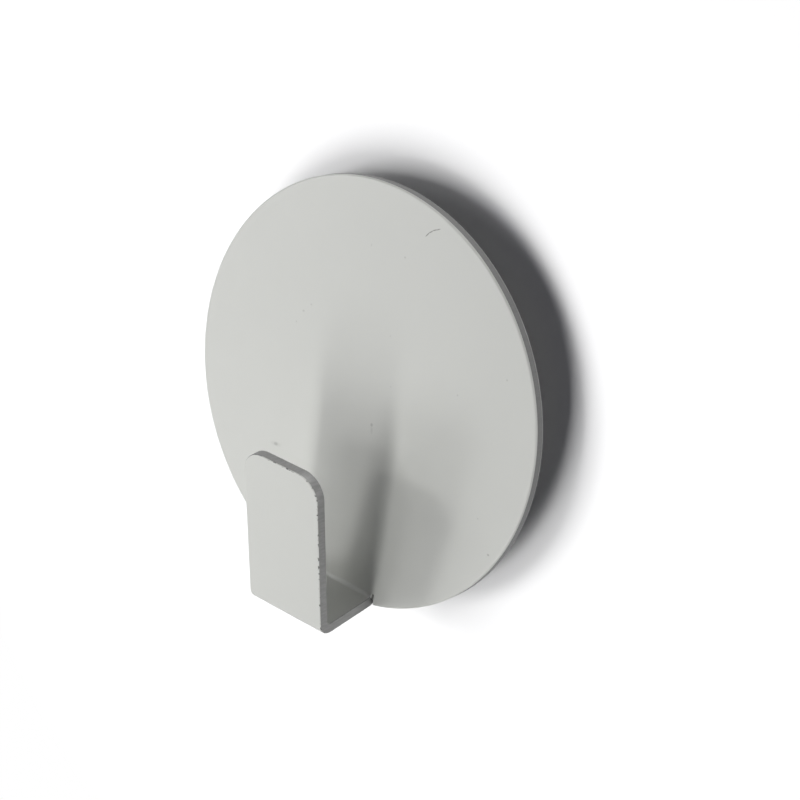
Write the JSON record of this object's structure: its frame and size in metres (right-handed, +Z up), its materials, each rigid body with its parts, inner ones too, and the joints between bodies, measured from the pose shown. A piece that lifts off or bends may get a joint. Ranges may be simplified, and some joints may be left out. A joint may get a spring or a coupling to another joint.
{
  "type": "magnetic hook",
  "caption": "Round off-white sheet metal hook for steel surfaces: a flat disc with a tab bent forward and up into a leaning lip, held by a flat magnet pack behind the disc.",
  "frame": {"origin": "centre of the grip pad's contact face, where the hook touches the steel surface", "axes": "+Z up, +Y into the steel surface, +X to the right as seen from the front; the hook reaches out along -Y"},
  "size_m": [0.05, 0.0167, 0.0508],
  "materials": {
    "coated_steel": "smooth semi-gloss off-white coating on both faces, bare grey metal at the cut edges",
    "tape": "milky double-sided film",
    "carrier_plastic": "fine-grained black moulding",
    "magnet_plating": "bright nickel plating",
    "pad_rubber": "matt dark grey grip sheet"
  },
  "bodies": {
    "root": {"hook_plate": "coated_steel", "plate_tape": "tape", "magnet_carrier": "carrier_plastic", "magnet_1": "magnet_plating", "magnet_2": "magnet_plating", "magnet_3": "magnet_plating", "magnet_4": "magnet_plating", "magnet_5": "magnet_plating", "magnet_6": "magnet_plating", "pad_tape": "tape", "grip_pad": "pad_rubber"}
  },
  "joints": []
}
